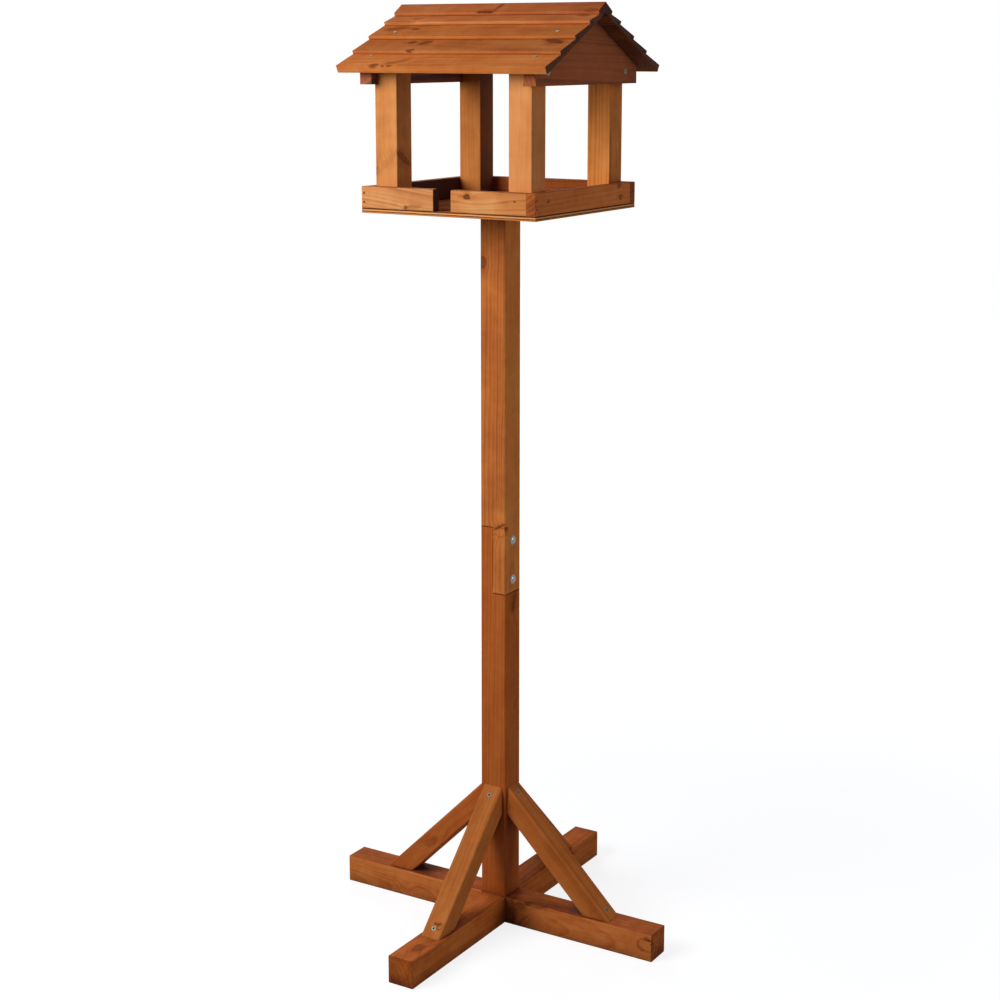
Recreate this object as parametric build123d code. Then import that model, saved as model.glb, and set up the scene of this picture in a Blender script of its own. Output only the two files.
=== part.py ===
from build123d import *
import math
import os

# A wooden bird table on a pole. Sizes are in millimetres. The origin is on the ground under the
# pole's axis, +X runs to the right along the ridge, the front faces -Y and +Z is up.

# Square stock of the two crossed base rails and of both lengths of the pole
STOCK = 44.0
STOCK_EASE = 2.0
BASE_RAIL_LENGTH = 564.0

# Pole in two lengths, joined halfway by a bolted half lap
LOWER_POLE_LENGTH = 600.0
UPPER_POLE_LENGTH = 586.0
POLE_LAP = 104.0
SHOULDER_GAP = 0.4
BOLT_SPACING = 62.0

# Braces between the pole and the base rails
BRACE_WIDTH = 33.0
BRACE_DEPTH = 33.0
BRACE_EASE = 3.0
BRACE_RISE = 183.0
BRACE_REACH = 183.0

# Tray: plywood floor with a low rail round it
TRAY_SIDE = 294.0
FLOOR_THICKNESS = 6.5
RAIL_THICKNESS = 15.0
RAIL_HEIGHT = 32.0
RAIL_EASE = 2.0
FRONT_GAP = 30.0

# Corner posts and gable boards
POST_SECTION = 38.0
POST_EASE = 1.5
HEADROOM = 177.5
GABLE_THICKNESS = 20.0
GABLE_END_HEIGHT = 25.0

# Roof of lapped weatherboards, all lying on the gables' sloping edges
ROOF_PITCH = 27.0
ROOF_LENGTH = 348.0
EAVE_OVERHANG = 18.5
BOARD_BUTT = 11.2
BOARD_THIN = 5.2
BOARD_LAP = 9.0
BOARD_EXPOSURE = 45.5
TOP_BOARD_LAP = 6.0
TOP_BOARD_LEAST = 20.0
RIDGE_BOARD_BUTT = 17.0
RIDGE_THICKNESS = 13.5
LAP_CLEARANCE = 0.2

# Coach bolts with their washers and nuts
BOLT_DIAMETER = 6.0
BOLT_HEAD_DIAMETER = 15.0
BOLT_HEAD_HEIGHT = 3.6
BOLT_NECK = 6.4
BOLT_NECK_LENGTH = 3.5
BOLT_PROUD = 2.0
WASHER_DIAMETER = 18.0
WASHER_THICKNESS = 1.6
NUT_ACROSS_FLATS = 10.0
NUT_HEIGHT = 5.0

# Countersunk wood screws
SCREW_DIAMETER = 4.0
SCREW_HEAD_DIAMETER = 8.0
BRACE_SCREW_INSET = 16.5
BRACE_SCREW_TIP_TO_AXIS = 6.0
GABLE_SCREW_HEIGHT = 18.0
GABLE_SCREW_BITE = 22.0
FLOOR_SCREW_BITE = 34.0
POLE_SCREW_BITE = 50.0
POLE_SCREW_SPACING = 22.0
BASE_SCREW_DIAMETER = 6.0
BASE_SCREW_HEAD_DIAMETER = 12.0
BASE_SCREW_BITE = 56.0

# Flat-headed nails
NAIL_HEAD_THICKNESS = 0.8
ROOF_NAIL_DIAMETER = 2.4
ROOF_NAIL_HEAD_DIAMETER = 5.5
ROOF_NAIL_BITE = 20.0
EAVE_NAIL_BELOW_LAP = 7.0
UPPER_NAIL_ABOVE_BUTT = 17.0
RAIL_NAIL_DIAMETER = 2.0
RAIL_NAIL_HEAD_DIAMETER = 3.2
RAIL_NAIL_BITE = 15.0
CORNER_NAIL_EDGE = 4.2
CORNER_NAIL_SPACING = 13.0
POST_NAIL_DROP = 12.0

# Room between a fastener and its hole, measured on the radius, and the flats that stand for a
# round on a fastener or its hole
HOLE_CLEARANCE = 0.1
SCREW_FLATS = 12
NAIL_FLATS = 8
WASHER_FLATS = 24

# Places that follow from the sizes above
LOWER_POLE_TOP = STOCK + LOWER_POLE_LENGTH
LAP_BOTTOM = LOWER_POLE_TOP - POLE_LAP
FLOOR_UNDERSIDE = LAP_BOTTOM + UPPER_POLE_LENGTH
FLOOR_TOP = FLOOR_UNDERSIDE + FLOOR_THICKNESS
TRAY_EDGE = TRAY_SIDE / 2
POST_FACE = TRAY_EDGE - RAIL_THICKNESS
POST_CENTRE = POST_FACE - POST_SECTION / 2
GABLE_BOTTOM = FLOOR_TOP + HEADROOM
SLOPE = math.radians(ROOF_PITCH)
ROOF_SEAT_APEX = GABLE_BOTTOM + GABLE_END_HEIGHT + TRAY_EDGE * math.tan(SLOPE)
EAVE = TRAY_EDGE / math.cos(SLOPE) + EAVE_OVERHANG
GABLE_CENTRE = TRAY_EDGE - GABLE_THICKNESS / 2

# Butt edge of each board, measured down the slope from the apex: the ridge board first, then the
# board that was ripped down to fill what the whole boards leave, then the whole boards
WHOLE_BOARDS = int((EAVE - RIDGE_BOARD_BUTT - TOP_BOARD_LEAST) // BOARD_EXPOSURE)
BUTTS = [RIDGE_BOARD_BUTT]
BUTTS += [EAVE - step * BOARD_EXPOSURE for step in range(WHOLE_BOARDS, -1, -1)]
BOARDS = len(BUTTS)
THIN_EDGES = [0.0, RIDGE_BOARD_BUTT - TOP_BOARD_LAP]
THIN_EDGES += [butt - BOARD_LAP for butt in BUTTS[1:-1]]


def bar(width, depth, length, ease):
    """Planed timber standing on the ground plane, with its long arrises eased."""
    return extrude(RectangleRounded(width, depth, ease), length)


def block(low, high):
    """Cutting block between two opposite corners."""
    size = [b - a for a, b in zip(low, high)]
    middle = [(a + b) / 2 for a, b in zip(low, high)]
    return Pos(*middle) * Box(*size)


def aimed(point, outward):
    """Place for a fastener: its head lies at the point and its shank runs against outward."""
    return Plane(origin=point, z_dir=outward).location


def quarter_turns(shape):
    """The shape turned to each of the four sides."""
    return [Rot(0, 0, 90 * k) * shape for k in range(4)]


def rod(diameter, low, high, flats):
    """Straight shank along Z between two heights."""
    section = RegularPolygon(diameter / 2, round(flats), major_radius=False)
    return extrude(Pos(0, 0, low) * section, high - low)


def cone(wide, narrow, height, flats):
    """Taper standing on its wide end at the origin."""
    section = RegularPolygon(wide / 2, round(flats), major_radius=False)
    return extrude(section, height, taper=math.degrees(math.atan2((wide - narrow) / 2, height)))


def screw(diameter, head_diameter, length, room=0.0):
    """Countersunk screw with its head's top at the origin; with room it is the hole's form."""
    shank = diameter + 2 * room
    head = head_diameter + 2 * room
    depth = (head_diameter - diameter) / 2
    sink = Rot(180, 0, 0) * cone(head, shank, depth, SCREW_FLATS)
    return sink + rod(shank, -length - room, -depth, SCREW_FLATS)


def cross_recess(head_diameter):
    """Cross cut in a screw's head for the driver."""
    reach = head_diameter * 0.56
    blade = head_diameter * 0.13
    depth = head_diameter * 0.2
    return Box(reach, blade, 2 * depth) + Box(blade, reach, 2 * depth)


def driven_screw(diameter, head_diameter, length):
    """Countersunk screw as it is seen, with its driver recess."""
    return screw(diameter, head_diameter, length) - cross_recess(head_diameter)


def nail(diameter, head_diameter, length, room=0.0):
    """Flat-headed nail with its head's underside at the origin; with room it is the hole."""
    shank = rod(diameter + 2 * room, -length - room, 0, NAIL_FLATS)
    if room:
        return shank
    return shank + rod(head_diameter, 0, NAIL_HEAD_THICKNESS, SCREW_FLATS)


def placed(shape, places):
    """Separate copies of one fastener at all its places."""
    return [place * shape for place in places]


# Base: two rails halved into each other under the pole's foot

BASE_SCREW_LENGTH = STOCK + BASE_SCREW_BITE
BASE_SCREW_PLACE = aimed((0, 0, 0), (0, 0, -1))


def base_screw_hole():
    hole = screw(BASE_SCREW_DIAMETER, BASE_SCREW_HEAD_DIAMETER, BASE_SCREW_LENGTH, HOLE_CLEARANCE)
    return BASE_SCREW_PLACE * hole


def base_rail(notch_low, notch_high):
    """Rail lying along X on the ground, halved where it crosses the other one."""
    half = STOCK / 2
    rail = bar(STOCK, STOCK, BASE_RAIL_LENGTH, STOCK_EASE)
    rail = Pos(-BASE_RAIL_LENGTH / 2, 0, half) * Rot(0, 90, 0) * rail
    rail -= block((-half, -STOCK, notch_low), (half, STOCK, notch_high))
    return rail - brace_screw_holes() - base_screw_hole()


def base_rail_lower():
    return base_rail(STOCK / 2, STOCK)


def base_rail_upper():
    return Rot(0, 0, 90) * base_rail(0, STOCK / 2)


# Braces: cut plumb against the pole and level on the rail

BRACE_SLOPE = math.atan2(BRACE_RISE, BRACE_REACH)
BRACE_RUN = Vector(math.cos(BRACE_SLOPE), 0, -math.sin(BRACE_SLOPE))
BRACE_OUT = Vector(math.sin(BRACE_SLOPE), 0, math.cos(BRACE_SLOPE))
BRACE_TOP = Vector(STOCK / 2, 0, STOCK + BRACE_RISE)
BRACE_TOE = Vector(STOCK / 2 + BRACE_REACH, 0, STOCK)
BRACE_SCREW_REACH = STOCK / 2 - BRACE_SCREW_TIP_TO_AXIS
BRACE_SCREW_LENGTH = BRACE_SCREW_REACH / math.sin(BRACE_SLOPE) + BRACE_SCREW_INSET / math.tan(
    BRACE_SLOPE
)
BRACE_SCREW_PLACES = [
    aimed(BRACE_TOP + BRACE_RUN * BRACE_SCREW_INSET, BRACE_OUT),
    aimed(BRACE_TOE - BRACE_RUN * BRACE_SCREW_INSET, BRACE_OUT),
]


def brace_screw_holes():
    hole = screw(SCREW_DIAMETER, SCREW_HEAD_DIAMETER, BRACE_SCREW_LENGTH, HOLE_CLEARANCE)
    pair = Compound(placed(hole, BRACE_SCREW_PLACES))
    return [s for turned in quarter_turns(pair) for s in turned.solids()]


def brace():
    """Brace on the right-hand rail."""
    reach = BRACE_REACH + BRACE_RISE
    middle = (BRACE_TOP + BRACE_TOE) * 0.5 - BRACE_OUT * (BRACE_DEPTH / 2)
    section = RectangleRounded(BRACE_WIDTH, BRACE_DEPTH, BRACE_EASE)
    along = Plane(origin=middle, x_dir=(0, 1, 0), z_dir=BRACE_RUN)
    piece = extrude(along * section, reach, both=True)
    piece &= block((STOCK / 2, -BRACE_WIDTH, STOCK), (STOCK + reach, BRACE_WIDTH, STOCK + reach))
    return piece - brace_screw_holes()


# Pole: the lower length keeps its left half in the lap, the upper length its right half

BOLT_HEIGHTS = [LAP_BOTTOM + POLE_LAP / 2 + side * BOLT_SPACING / 2 for side in (-1, 1)]
BOLT_PLACES = [aimed((STOCK / 2, 0, height), (1, 0, 0)) for height in BOLT_HEIGHTS]
POLE_SCREW_LENGTH = FLOOR_THICKNESS + POLE_SCREW_BITE
POLE_SCREW_PLACES = [
    aimed((side * POLE_SCREW_SPACING / 2, 0, FLOOR_TOP), (0, 0, 1)) for side in (-1, 1)
]


def bolt_bore():
    """Hole for a bolt's shank, running past the nut."""
    return rod(BOLT_DIAMETER + 2 * HOLE_CLEARANCE, -2 * STOCK, STOCK, SCREW_FLATS)


def bolt_holes():
    wide = BOLT_NECK + 2 * HOLE_CLEARANCE
    neck = Pos(0, 0, -BOLT_NECK_LENGTH / 2) * Box(wide, wide, BOLT_NECK_LENGTH)
    return placed(bolt_bore() + neck, BOLT_PLACES)


def pole_screw_holes():
    hole = screw(SCREW_DIAMETER, SCREW_HEAD_DIAMETER, POLE_SCREW_LENGTH, HOLE_CLEARANCE)
    return placed(hole, POLE_SCREW_PLACES)


def pole_lower():
    piece = Pos(0, 0, STOCK) * bar(STOCK, STOCK, LOWER_POLE_LENGTH, STOCK_EASE)
    piece -= block((0, -STOCK, LAP_BOTTOM - SHOULDER_GAP), (STOCK, STOCK, LOWER_POLE_TOP + STOCK))
    return piece - bolt_holes() - brace_screw_holes() - base_screw_hole()


def pole_upper():
    piece = Pos(0, 0, LAP_BOTTOM) * bar(STOCK, STOCK, UPPER_POLE_LENGTH, STOCK_EASE)
    piece -= block((-STOCK, -STOCK, LAP_BOTTOM - STOCK), (0, STOCK, LOWER_POLE_TOP + SHOULDER_GAP))
    return piece - bolt_holes() - pole_screw_holes()


def coach_bolt():
    """Domed bolt with a square neck, its head's seat at the origin."""
    length = STOCK + WASHER_THICKNESS + NUT_HEIGHT + BOLT_PROUD
    ball = (BOLT_HEAD_DIAMETER**2 / 4 + BOLT_HEAD_HEIGHT**2) / (2 * BOLT_HEAD_HEIGHT)
    spread = math.asin(BOLT_HEAD_DIAMETER / 2 / ball)
    rings = [
        (2 * ball * math.sin(spread * share), ball * (math.cos(spread * share) - math.cos(spread)))
        for share in (1, 0.75, 0.5, 0.2)
    ]
    neck = Pos(0, 0, -BOLT_NECK_LENGTH / 2) * Box(BOLT_NECK, BOLT_NECK, BOLT_NECK_LENGTH)
    bolt = rod(BOLT_DIAMETER, -length, 0, SCREW_FLATS) + neck
    for (wide, low), (narrow, high) in zip(rings, rings[1:]):
        bolt += Pos(0, 0, low) * cone(wide, narrow, high - low, WASHER_FLATS)
    return bolt


def bolt_washer():
    seat = -STOCK
    washer = rod(WASHER_DIAMETER, seat - WASHER_THICKNESS, seat, WASHER_FLATS)
    return washer - bolt_bore()


def bolt_nut():
    seat = -STOCK - WASHER_THICKNESS
    nut = rod(NUT_ACROSS_FLATS, seat - NUT_HEIGHT, seat, 6)
    return nut - bolt_bore()


# Tray: plywood floor on the pole's top, rails set round it pinwheel fashion

RAIL_MIDDLE = FLOOR_TOP + RAIL_HEIGHT / 2
RAIL_NAIL_LENGTH = RAIL_THICKNESS + RAIL_NAIL_BITE
CORNER_NAIL_PLACES = [
    aimed((CORNER_NAIL_EDGE - TRAY_EDGE, -TRAY_EDGE, RAIL_MIDDLE + side * CORNER_NAIL_SPACING / 2),
          (0, -1, 0))
    for side in (-1, 1)
]
POST_NAIL_PLACE = aimed(
    (POST_CENTRE, -TRAY_EDGE, FLOOR_TOP + RAIL_HEIGHT - POST_NAIL_DROP), (0, -1, 0)
)
FLOOR_SCREW_LENGTH = FLOOR_THICKNESS + FLOOR_SCREW_BITE
FLOOR_SCREW_PLACES = [
    aimed((across * POST_CENTRE, along * POST_CENTRE, FLOOR_UNDERSIDE), (0, 0, -1))
    for across in (-1, 1)
    for along in (-1, 1)
]


def rail_nails(room=0.0):
    """Two nails at each covered corner, and one that holds the right front rail to its post."""
    one = nail(RAIL_NAIL_DIAMETER, RAIL_NAIL_HEAD_DIAMETER, RAIL_NAIL_LENGTH, room)
    corner = Compound(placed(one, CORNER_NAIL_PLACES))
    corners = [s for turned in quarter_turns(corner) for s in turned.solids()]
    return corners + placed(one, [POST_NAIL_PLACE])


def floor_screw_holes():
    hole = screw(SCREW_DIAMETER, SCREW_HEAD_DIAMETER, FLOOR_SCREW_LENGTH, HOLE_CLEARANCE)
    return placed(hole, FLOOR_SCREW_PLACES)


def tray_floor():
    sheet = Pos(0, 0, (FLOOR_UNDERSIDE + FLOOR_TOP) / 2) * Box(TRAY_SIDE, TRAY_SIDE, FLOOR_THICKNESS)
    return sheet - pole_screw_holes() - floor_screw_holes()


def tray_rail(start, end, side):
    """Rail between two places along the front edge, turned to its side of the tray."""
    rail = Rot(0, 90, 0) * bar(RAIL_HEIGHT, RAIL_THICKNESS, end - start, RAIL_EASE)
    rail = Pos(start, RAIL_THICKNESS / 2 - TRAY_EDGE, RAIL_MIDDLE) * rail
    return Rot(0, 0, 90 * side) * rail - rail_nails(HOLE_CLEARANCE)


def tray_rails():
    """Each rail covers the end of the one before; the front one is left open in the middle."""
    first = -TRAY_EDGE
    last = TRAY_EDGE - RAIL_THICKNESS
    middle = (first + last) / 2
    return {
        "tray_rail_front_left": tray_rail(first, middle - FRONT_GAP / 2, 0),
        "tray_rail_front_right": tray_rail(middle + FRONT_GAP / 2, last, 0),
        "tray_rail_right": tray_rail(first, last, 1),
        "tray_rail_back": tray_rail(first, last, 2),
        "tray_rail_left": tray_rail(first, last, 3),
    }


# House: four posts on the floor, two gable boards let into their outer faces

POST_TOP = ROOF_SEAT_APEX - POST_FACE * math.tan(SLOPE)
GABLE_SCREW_LENGTH = GABLE_THICKNESS + GABLE_SCREW_BITE
GABLE_SCREW_PLACES = [
    aimed((side * TRAY_EDGE, along * POST_CENTRE, GABLE_BOTTOM + GABLE_SCREW_HEIGHT), (side, 0, 0))
    for side in (-1, 1)
    for along in (-1, 1)
]


def gable_screw_holes():
    hole = screw(SCREW_DIAMETER, SCREW_HEAD_DIAMETER, GABLE_SCREW_LENGTH, HOLE_CLEARANCE)
    return placed(hole, GABLE_SCREW_PLACES)


def post(across, along):
    """Corner post, rebated at the top so that the gable's face lines up with the tray's."""
    piece = bar(POST_SECTION, POST_SECTION, POST_TOP - FLOOR_TOP, POST_EASE)
    piece = Pos(across * POST_CENTRE, along * POST_CENTRE, FLOOR_TOP) * piece
    seat = TRAY_EDGE - GABLE_THICKNESS
    near, far = sorted((across * seat, across * (seat + POST_SECTION)))
    piece -= block((near, -TRAY_SIDE, GABLE_BOTTOM), (far, TRAY_SIDE, POST_TOP + POST_SECTION))
    return piece - rail_nails(HOLE_CLEARANCE) - floor_screw_holes() - gable_screw_holes()


def gable(side):
    """Board with level foot, short upright ends and sloping shoulders under the roof."""
    shoulder = GABLE_BOTTOM + GABLE_END_HEIGHT
    outline = Polyline(
        (-TRAY_EDGE, GABLE_BOTTOM),
        (TRAY_EDGE, GABLE_BOTTOM),
        (TRAY_EDGE, shoulder),
        (0, ROOF_SEAT_APEX),
        (-TRAY_EDGE, shoulder),
        close=True,
    )
    board = extrude(Plane.YZ * make_face(outline), GABLE_THICKNESS / 2, both=True)
    return Pos(side * GABLE_CENTRE, 0, 0) * board - roof_nails(HOLE_CLEARANCE) - gable_screw_holes()


# Roof: five boards a side, each with its lower edge rebated over the thin edge of the next


def on_slope(down, out):
    """Point of the front slope: distance down from the apex and height off the gables' edges."""
    return (
        -down * math.cos(SLOPE) - out * math.sin(SLOPE),
        ROOF_SEAT_APEX - down * math.sin(SLOPE) + out * math.cos(SLOPE),
    )


def board_fall(k):
    """Slope of a lapped board's face against its back."""
    return (BOARD_BUTT - BOARD_THIN) / (BUTTS[k] - THIN_EDGES[k])


def board_height(k, down):
    """Height of a lapped board's face off the gables' edges at a distance down the slope."""
    return BOARD_THIN + board_fall(k) * (down - THIN_EDGES[k])


def board_outline(k):
    """Section of one board; the ridge board is a strip cut plumb at the apex, thick edge up."""
    butt = BUTTS[k]
    edge = THIN_EDGES[k]
    if k == 0:
        apex = (edge - RIDGE_THICKNESS * math.tan(SLOPE), RIDGE_THICKNESS)
        face = [(edge, 0), apex, (butt, BOARD_BUTT)]
    else:
        face = [(edge, 0), (edge, BOARD_THIN), (butt, BOARD_BUTT)]
    if k == BOARDS - 1:
        return face + [(butt, 0)]
    rebate = board_height(k + 1, butt) + LAP_CLEARANCE
    shoulder = THIN_EDGES[k + 1] - LAP_CLEARANCE
    return face + [(butt, rebate), (shoulder, rebate), (shoulder, 0)]


def roof_nail_place(k, down):
    """Nail set square to the face of a board."""
    y, z = on_slope(down, board_height(k, down))
    lean = SLOPE - math.atan(board_fall(k))
    return y, z, (0, -math.sin(lean), math.cos(lean))


ROOF_NAIL_LENGTH = BOARD_BUTT + ROOF_NAIL_BITE
ROOF_NAIL_ROWS = [
    roof_nail_place(BOARDS - 1, BUTTS[-2] + EAVE_NAIL_BELOW_LAP),
    roof_nail_place(BOARDS - 3, BUTTS[-3] - UPPER_NAIL_ABOVE_BUTT),
]
ROOF_NAIL_PLACES = [
    aimed((side * GABLE_CENTRE, y, z), outward) for y, z, outward in ROOF_NAIL_ROWS for side in (-1, 1)
]


def roof_nails(room=0.0):
    """Nails of both slopes, over the middle of each gable."""
    one = nail(ROOF_NAIL_DIAMETER, ROOF_NAIL_HEAD_DIAMETER, ROOF_NAIL_LENGTH, room)
    front = Compound(placed(one, ROOF_NAIL_PLACES))
    return front.solids() + (Rot(0, 0, 180) * front).solids()


def roof_board(k, turn):
    outline = Polyline(*[on_slope(*point) for point in board_outline(k)], close=True)
    board = extrude(Plane.YZ * make_face(outline), ROOF_LENGTH / 2, both=True)
    return Rot(0, 0, turn) * board - roof_nails(HOLE_CLEARANCE)


pieces = {
    "base_rail_lower": base_rail_lower(),
    "base_rail_upper": base_rail_upper(),
    "pole_lower": pole_lower(),
    "pole_upper": pole_upper(),
    "tray_floor": tray_floor(),
    "gable_left": gable(-1),
    "gable_right": gable(1),
}
pieces.update(tray_rails())
for name, turned in zip(("right", "back", "left", "front"), quarter_turns(brace())):
    pieces["brace_" + name] = turned
for depth_name, along in (("front", -1), ("back", 1)):
    for side_name, across in (("left", -1), ("right", 1)):
        pieces[f"post_{depth_name}_{side_name}"] = post(across, along)
for slope_name, turn in (("front", 0), ("back", 180)):
    for k in range(BOARDS):
        pieces[f"roof_board_{slope_name}_{k + 1}"] = roof_board(k, turn)

small_screw = [SCREW_DIAMETER, SCREW_HEAD_DIAMETER]
brace_pair = Compound(placed(driven_screw(*small_screw, BRACE_SCREW_LENGTH), BRACE_SCREW_PLACES))
base_screw = driven_screw(BASE_SCREW_DIAMETER, BASE_SCREW_HEAD_DIAMETER, BASE_SCREW_LENGTH)
groups = {
    "pole_bolts": placed(coach_bolt(), BOLT_PLACES),
    "pole_bolt_washers": placed(bolt_washer(), BOLT_PLACES),
    "pole_bolt_nuts": placed(bolt_nut(), BOLT_PLACES),
    "brace_screws": [s for turned in quarter_turns(brace_pair) for s in turned.solids()],
    "base_screw": placed(base_screw, [BASE_SCREW_PLACE]),
    "pole_top_screws": placed(driven_screw(*small_screw, POLE_SCREW_LENGTH), POLE_SCREW_PLACES),
    "floor_screws": placed(driven_screw(*small_screw, FLOOR_SCREW_LENGTH), FLOOR_SCREW_PLACES),
    "gable_screws": placed(driven_screw(*small_screw, GABLE_SCREW_LENGTH), GABLE_SCREW_PLACES),
    "rail_nails": rail_nails(),
    "roof_nails": roof_nails(),
}
pieces.update({name: Compound(solids) for name, solids in groups.items()})

os.makedirs("parts", exist_ok=True)
for name, shape in pieces.items():
    export_step(shape, f"parts/{name}.step")
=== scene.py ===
import math

import bpy
from mathutils import Matrix, Vector


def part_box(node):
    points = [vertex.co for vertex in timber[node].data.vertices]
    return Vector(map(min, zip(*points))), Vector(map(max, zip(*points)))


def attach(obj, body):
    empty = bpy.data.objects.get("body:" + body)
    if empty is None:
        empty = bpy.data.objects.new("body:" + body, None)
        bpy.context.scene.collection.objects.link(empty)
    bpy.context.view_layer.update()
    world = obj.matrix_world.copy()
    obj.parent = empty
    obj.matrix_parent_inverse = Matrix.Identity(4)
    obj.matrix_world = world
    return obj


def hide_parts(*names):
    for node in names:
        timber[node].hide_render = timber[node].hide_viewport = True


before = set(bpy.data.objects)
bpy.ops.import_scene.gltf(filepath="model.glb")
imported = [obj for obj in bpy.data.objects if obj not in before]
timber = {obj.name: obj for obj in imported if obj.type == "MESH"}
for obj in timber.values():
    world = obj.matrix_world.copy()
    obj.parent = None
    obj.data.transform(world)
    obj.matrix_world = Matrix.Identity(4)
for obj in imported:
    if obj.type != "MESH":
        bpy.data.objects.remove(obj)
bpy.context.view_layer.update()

bpy.ops.object.select_all(action="DESELECT")


# Base rails: two square lengths of planed softwood, brushed with red-brown stain and halved into
# each other at the middle, so that they lie flat on the ground. Grain runs along each rail.

middle_tone = 0.62


def linear(red, green, blue):
    """Colour as a screen shows it, 0 to 255, in the linear light that a shader takes."""
    shares = [value / 255 for value in (red, green, blue)]
    return [s / 12.92 if s < 0.04045 else ((s + 0.055) / 1.055) ** 2.4 for s in shares] + [1]


def new_finish(name):
    """New material with its nodes and its shader."""
    material = bpy.data.materials.new(name)
    material.use_nodes = True
    return material, material.node_tree, material.node_tree.nodes["Principled BSDF"]


def wire(tree, socket, value):
    """Feeds a socket from another node, or sets it."""
    if isinstance(value, bpy.types.NodeSocket):
        tree.links.new(value, socket)
    else:
        socket.default_value = value


def lay(tree, kind, settings=(), **inputs):
    """New shader node with its settings and inputs."""
    node = tree.nodes.new("ShaderNode" + kind)
    for name, value in dict(settings).items():
        setattr(node, name, value)
    for name, value in inputs.items():
        wire(tree, node.inputs[name.replace("_", " ")], value)
    return node


def calc(tree, operation, *values):
    """One step of arithmetic between nodes."""
    node = lay(tree, "Math", {"operation": operation})
    for socket, value in zip(node.inputs, values):
        wire(tree, socket, value)
    return node.outputs[0]


def vectors(tree, operation, *values):
    """One step of arithmetic between directions or places."""
    node = lay(tree, "VectorMath", {"operation": operation})
    for socket, value in zip(node.inputs, values):
        wire(tree, socket, value)
    return node.outputs["Value" if operation in ("LENGTH", "DOT_PRODUCT") else "Vector"]


def fade(tree, value, start, end, low=0.0, high=1.0):
    """Smooth step between two values."""
    node = lay(tree, "MapRange", {"interpolation_type": "SMOOTHSTEP"}, Value=value)
    for name, number in (("From Min", start), ("From Max", end), ("To Min", low), ("To Max", high)):
        node.inputs[name].default_value = number
    return node.outputs["Result"]


def toned(tree, tone, *marks):
    """Adds marks to a tone, each by its own weight."""
    for mark, weight in marks:
        tone = calc(tree, "MULTIPLY_ADD", mark, weight, tone)
    return tone


def gather(tree, operation, so_far, more):
    """Puts one knot's mark together with those of the knots before it."""
    return more if so_far is None else calc(tree, operation, so_far, more)


def shades(tree, value, stops):
    """Colours along a scale from 0 to 1."""
    node = lay(tree, "ValToRGB", Fac=value)
    scale = node.color_ramp
    while len(scale.elements) < len(stops):
        scale.elements.new(1.0)
    for element, (position, colour) in zip(scale.elements, stops):
        element.position = position
        element.color = colour
    return node.outputs["Color"]


def mixed(tree, share, first, second):
    """One colour running into another, by the mixing node's colour sockets."""
    first_colour, second_colour, mixed_colour = 6, 7, 2
    node = lay(tree, "Mix", {"data_type": "RGBA"}, Factor=share)
    wire(tree, node.inputs[first_colour], first)
    wire(tree, node.inputs[second_colour], second)
    return node.outputs[mixed_colour]


def cloud(tree, place, scale, detail):
    """Soft random pattern, about 0 in the middle, drawn out along the grain."""
    stretched = vectors(tree, "MULTIPLY", place, scale)
    pattern = lay(tree, "TexNoise", Vector=stretched, Scale=1.0, Detail=detail)
    return calc(tree, "SUBTRACT", pattern.outputs["Fac"], 0.5)


def about(tree, point, along, limb, scale):
    """Object coordinates about a point, along the grain, along a limb and across both."""
    first = Vector(along).normalized()
    third = first.cross(Vector(limb)).normalized()
    turn = Matrix((first, third.cross(first), third)).transposed().to_euler()
    where = lay(tree, "TexCoord").outputs["Object"]
    kind = {"vector_type": "TEXTURE"}
    node = lay(tree, "Mapping", kind, Vector=where, Location=point, Scale=scale, Rotation=turn)
    return node.outputs["Vector"]


def stain(red, green, blue, soaked=(0.17, 0.18, 0.40)):
    """Four depths of a stain about its middle colour: soaked, dark, middle and thin."""
    middle = linear(red, green, blue)
    dark = (0.62, 0.54, 0.54)
    thin = (1.26, 1.70, 2.2)
    palest = 0.95
    return [
        [min(palest, part * share) for part, share in zip(middle, depth)] + [1]
        for depth in (soaked, dark, (1, 1, 1), thin)
    ]


def stain_colour(tree, tone, depths):
    """Colour of a stain by its tone, from 0 where it soaked in to 1 where it is thin."""
    return shades(tree, tone, list(zip((0.0, 0.34, middle_tone, 1.0), depths)))


def knot_marks(tree, along, ragged, knots):
    """Knots push the rings aside, with bark and a pale ring about them and dark grain sweeping past."""
    push = nearest = flare = halo = shown = bark = None
    for middle, limb, radius, reach, depth, *rim in knots:
        limb = Vector(limb).normalized()
        beside = along - limb * along.dot(limb)
        spot = about(tree, middle, beside, limb, (1.3 * radius, reach, radius))
        away = vectors(tree, "LENGTH", spot)
        aside = calc(tree, "MULTIPLY", fade(tree, away, 0.3, 3.6, 1, 0), radius * 1.1)
        push = gather(tree, "ADD", push, aside)
        wavy = calc(tree, "MULTIPLY_ADD", ragged, 1.4, away)
        nearest = gather(tree, "MINIMUM", nearest, wavy)
        shown = gather(tree, "MAXIMUM", shown, fade(tree, wavy, 0.7, 1.6, 0.9 * depth, 0))
        off_edge = calc(tree, "ABSOLUTE", calc(tree, "SUBTRACT", wavy, 1.0))
        bark = gather(tree, "MAXIMUM", bark, fade(tree, off_edge, 0.03, 0.26, sum(rim), 0))
        drawn = vectors(tree, "LENGTH", vectors(tree, "MULTIPLY", spot, (0.30, 1, 0.75)))
        drawn = calc(tree, "MULTIPLY_ADD", ragged, 0.8, drawn)
        flare = gather(tree, "MAXIMUM", flare, fade(tree, drawn, 0.3, 1.6, depth, 0))
        halo = gather(tree, "MAXIMUM", halo, fade(tree, drawn, 0.9, 2.4, abs(depth), 0))
    return push, nearest, flare, halo, shown, bark


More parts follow.
